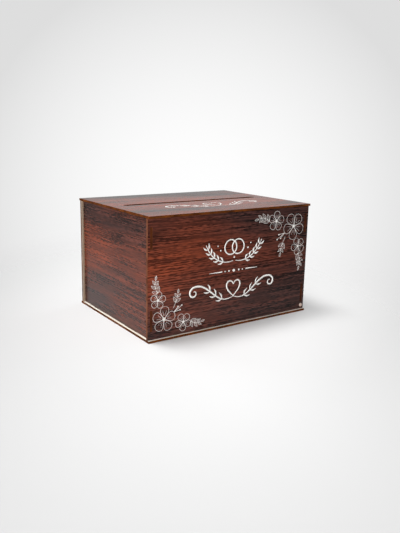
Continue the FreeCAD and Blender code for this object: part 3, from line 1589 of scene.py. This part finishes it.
@dataclass(frozen=True)
class StudioPaper(Finish):
    """Pale studio paper, matte.

    The eye sees even paper that keeps the box's soft shadow, shades off to the sides and gives way to the
    backdrop far out. The light that it throws back is a darker grey's, and so is its mirror image away from
    the box.
    """

    name: str = "studio_paper_pale"
    turn_degrees: float = 0.0
    near: str = "#f5f5f5"
    far: str = "#bcbcbc"
    thrown_back: str = "#8a8a8a"
    shading: Oval = Oval((0.08, 0.3), (1.0, 2.17), (0.127, 0.56))
    mirroring: Oval = Oval((-0.2, 0.0), (1.0, 1.0), (0.25, 0.55))
    ending: Oval = Oval((-0.06, -0.175), (1.0, 1.78), (0.1, 0.5))

    def shader(self, tree: Tree, place: Socket) -> Socket:
        """Add the nodes of the paper.

        Args:
            tree: The material's node tree.
            place: Its Object coordinates.

        Returns:
            The shader of the paper, open to the camera far out.
        """
        rays = add_node(tree, "ShaderNodeLightPath").outputs
        shade = add_node(tree, "ShaderNodeMix", {
            MIX_FACTOR: self._fade(tree, place, self.shading), MIX_A: srgb(self.near), MIX_B: srgb(self.far),
        }, data_type="RGBA").outputs[MIX_RESULT]
        mirrored = add_node(tree, "ShaderNodeMath", {
            0: rays["Is Glossy Ray"], 1: self._fade(tree, place, self.mirroring),
        }, operation="MULTIPLY").outputs[0]
        unseen = add_node(tree, "ShaderNodeMath", {
            0: rays["Is Diffuse Ray"], 1: mirrored,
        }, operation="MAXIMUM").outputs[0]
        coloured = add_node(tree, "ShaderNodeMix", {
            MIX_FACTOR: unseen, MIX_A: shade, MIX_B: srgb(self.thrown_back),
        }, data_type="RGBA").outputs[MIX_RESULT]
        paper = add_node(tree, "ShaderNodeBsdfDiffuse", {"Color": coloured}).outputs["BSDF"]
        gone = add_node(tree, "ShaderNodeMath", {
            0: rays["Is Camera Ray"], 1: self._fade(tree, place, self.ending),
        }, operation="MULTIPLY").outputs[0]
        open_view = add_node(tree, "ShaderNodeBsdfTransparent").outputs["BSDF"]
        return add_node(tree, "ShaderNodeMixShader", {0: gone, 1: paper, 2: open_view}).outputs["Shader"]

    def _fade(self, tree: Tree, place: Socket, oval: Oval) -> Socket:
        """Add the fade out of an oval.

        Args:
            tree: The material's node tree.
            place: Its Object coordinates.
            oval: The oval.

        Returns:
            The fade, from nought in the middle to one outside.
        """
        turned = add_node(tree, "ShaderNodeMapping", {
            "Vector": place, "Rotation": (0.0, 0.0, math.radians(self.turn_degrees)),
        }, vector_type="TEXTURE").outputs["Vector"]
        drawn = add_node(tree, "ShaderNodeMapping", {
            "Vector": turned, "Location": (*oval.middle, 0.0), "Scale": (*oval.drawn_out, 1.0),
        }, vector_type="TEXTURE").outputs["Vector"]
        distance = add_node(tree, "ShaderNodeVectorMath", {0: drawn}, operation="LENGTH").outputs["Value"]
        return add_node(tree, "ShaderNodeMapRange", {
            "Value": distance, "From Min": oval.span[0], "From Max": oval.span[1],
        }, interpolation_type="SMOOTHSTEP").outputs["Result"]


@dataclass(frozen=True)
class Softbox:
    """A square soft light, in metres and watts.

    Its mirror image is kept out of the lacquer, as by a polarising filter.
    """

    name: str
    place: Triple
    side: float
    power: float

    def hang(self, aim: Triple) -> None:
        """Hang the light so that it looks at a point.

        Args:
            aim: That point, in metres.
        """
        data = bpy.data.lights.new(self.name, "AREA")
        data.shape = "SQUARE"
        data.size = self.side
        data.energy = self.power
        lamp = bpy.data.objects.new(self.name, data)
        look = Vector(aim) - Vector(self.place)
        lamp.rotation_euler = look.to_track_quat("-Z", "Y").to_euler()
        lamp.location = self.place
        lamp.visible_glossy = False
        bpy.context.scene.collection.objects.link(lamp)


SOFTBOXES = (
    Softbox("top_softbox", (-0.45, 0.3, 2.1), side=0.7, power=31.0),
    Softbox("front_softbox", (-1.2, -1.4, 0.4), side=0.9, power=29.0),
    Softbox("left_softbox", (-1.85, -0.6, 0.35), side=1.2, power=17.0),
    Softbox("back_softbox", (-0.7, 1.75, 0.9), side=1.2, power=9.0),
    Softbox("right_softbox", (1.75, 0.35, 0.9), side=1.4, power=7.0),
)


@dataclass
class Studio:
    """Pale floor, soft lights and the camera at the photograph's viewing angle; angles are in degrees.

    In a mirror the backdrop rises from the first to the second mirrored level between the two facings, which
    are cosines of the angle from its middle. The fill light is the world's level for everything else.
    """

    image_width: int = 400
    image_height: int = 533
    focal_px: float = 576.12
    middle_px: Point = (185.5, 253.4)
    azimuth: float = -33.866
    elevation: float = 12.205
    roll: float = 0.9465
    camera_mm: Triple = (-453.05, -657.19, 250.75)
    sensor_mm: float = 36.0
    nearest: float = 0.01
    floor_radius: float = 6.0
    floor_segments: int = 96
    lamp_aim: Triple = (0.0, 0.0, 0.07)
    fill_light: float = 0.22
    backdrop_pale: str = "#ffffff"
    backdrop_shaded: str = "#dedede"
    backdrop_turn: float = -1.2
    backdrop_drop: float = 7.5
    backdrop_reach: float = 22.0
    mirrored_facing: Span = (0.3, 0.9)
    mirrored_level: Span = (0.2, 1.0)

    def build(self) -> None:
        """Make camera, floor, world and lights."""
        self._camera()
        self._floor()
        self._world()
        for softbox in SOFTBOXES:
            softbox.hang(self.lamp_aim)

    def _camera(self) -> None:
        """Set the camera as fitted to the photograph."""
        data = bpy.data.cameras.new("photo_camera")
        data.sensor_fit = "AUTO"
        data.sensor_width = self.sensor_mm
        data.lens = self.focal_px / self.image_height * self.sensor_mm
        data.shift_x = (self.image_width / 2 - self.middle_px[0]) / self.image_height
        data.shift_y = (self.middle_px[1] - self.image_height / 2) / self.image_height
        data.clip_start = self.nearest
        camera = bpy.data.objects.new("photo_camera", data)
        turn = (
            Matrix.Rotation(math.radians(self.azimuth), 4, "Z")
            @ Matrix.Rotation(math.radians(90 - self.elevation), 4, "X")
            @ Matrix.Rotation(math.radians(self.roll), 4, "Z")
        )
        camera.matrix_world = Matrix.Translation(Vector(self.camera_mm) * MM) @ turn
        bpy.context.scene.collection.objects.link(camera)
        bpy.context.scene.camera = camera

    def _floor(self) -> None:
        """Lay a round floor of studio paper."""
        bm = bmesh.new()
        bmesh.ops.create_circle(bm, cap_ends=True, segments=self.floor_segments, radius=self.floor_radius)
        paper = StudioPaper(turn_degrees=self.azimuth).material()
        finish_piece("studio_floor", bm, (paper,))

    def _world(self) -> None:
        """Surround the scene with even white light and a pale backdrop that is brightest behind the box."""
        world = bpy.data.worlds.new("studio_white")
        world.use_nodes = True
        tree = world.node_tree
        tree.nodes.clear()
        rays = add_node(tree, "ShaderNodeLightPath").outputs
        direction = add_node(tree, "ShaderNodeTexCoord").outputs["Generated"]
        facing = add_node(tree, "ShaderNodeVectorMath", {
            0: direction, 1: self._backdrop_middle(),
        }, operation="DOT_PRODUCT").outputs["Value"]
        glow = add_node(tree, "ShaderNodeMapRange", {
            "Value": facing, "From Min": math.cos(math.radians(self.backdrop_reach)), "From Max": 1.0,
        }).outputs["Result"]
        shade = add_node(tree, "ShaderNodeMix", {
            MIX_FACTOR: glow, MIX_A: srgb(self.backdrop_shaded), MIX_B: srgb(self.backdrop_pale),
        }, data_type="RGBA").outputs[MIX_RESULT]
        mirrored = add_node(tree, "ShaderNodeMapRange", {
            "Value": facing, "From Min": self.mirrored_facing[0], "From Max": self.mirrored_facing[1],
            "To Min": self.mirrored_level[0], "To Max": self.mirrored_level[1],
        }).outputs["Result"]
        level = add_node(tree, "ShaderNodeMapRange", {
            "Value": rays["Is Glossy Ray"], "To Min": self.fill_light, "To Max": mirrored,
        }).outputs["Result"]
        light = add_node(tree, "ShaderNodeBackground", {"Strength": level}).outputs["Background"]
        seen = add_node(tree, "ShaderNodeBackground", {"Color": shade}).outputs["Background"]
        mixed = add_node(tree, "ShaderNodeMixShader", {
            0: rays["Is Camera Ray"], 1: light, 2: seen,
        }).outputs["Shader"]
        add_node(tree, "ShaderNodeOutputWorld", {"Surface": mixed})
        bpy.context.scene.world = world

    def _backdrop_middle(self) -> Triple:
        """Give the direction of the backdrop's brightest spot, low behind the box.

        Returns:
            The direction, of length one.
        """
        angle = math.radians(self.azimuth + self.backdrop_turn)
        drop = math.radians(self.backdrop_drop)
        return (-math.sin(angle) * math.cos(drop), math.cos(angle) * math.cos(drop), -math.sin(drop))


def report(pieces: Iterable[Piece]) -> None:
    """Log each piece with its face count."""
    for piece in pieces:
        LOG.info("%s: %d faces", piece.name, len(piece.data.polygons))


def main() -> None:
    """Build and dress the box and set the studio."""
    logging.basicConfig(level=logging.INFO)
    bpy.context.scene.view_settings.view_transform = "Standard"
    sizes = BoxSizes.from_frame()
    raw = RawBoard().material()
    edge = LaserCutEdge().material()
    report(BoxShell(sizes, raw, edge).build())
    report(Lid(sizes, raw, edge).build())
    report(Prints(sizes, WhiteInk().material()).build())
    report(CornerFasteners().dress(ZincPlatedSteel().material()))
    Studio().build()


if __name__ == "__main__":
    main()
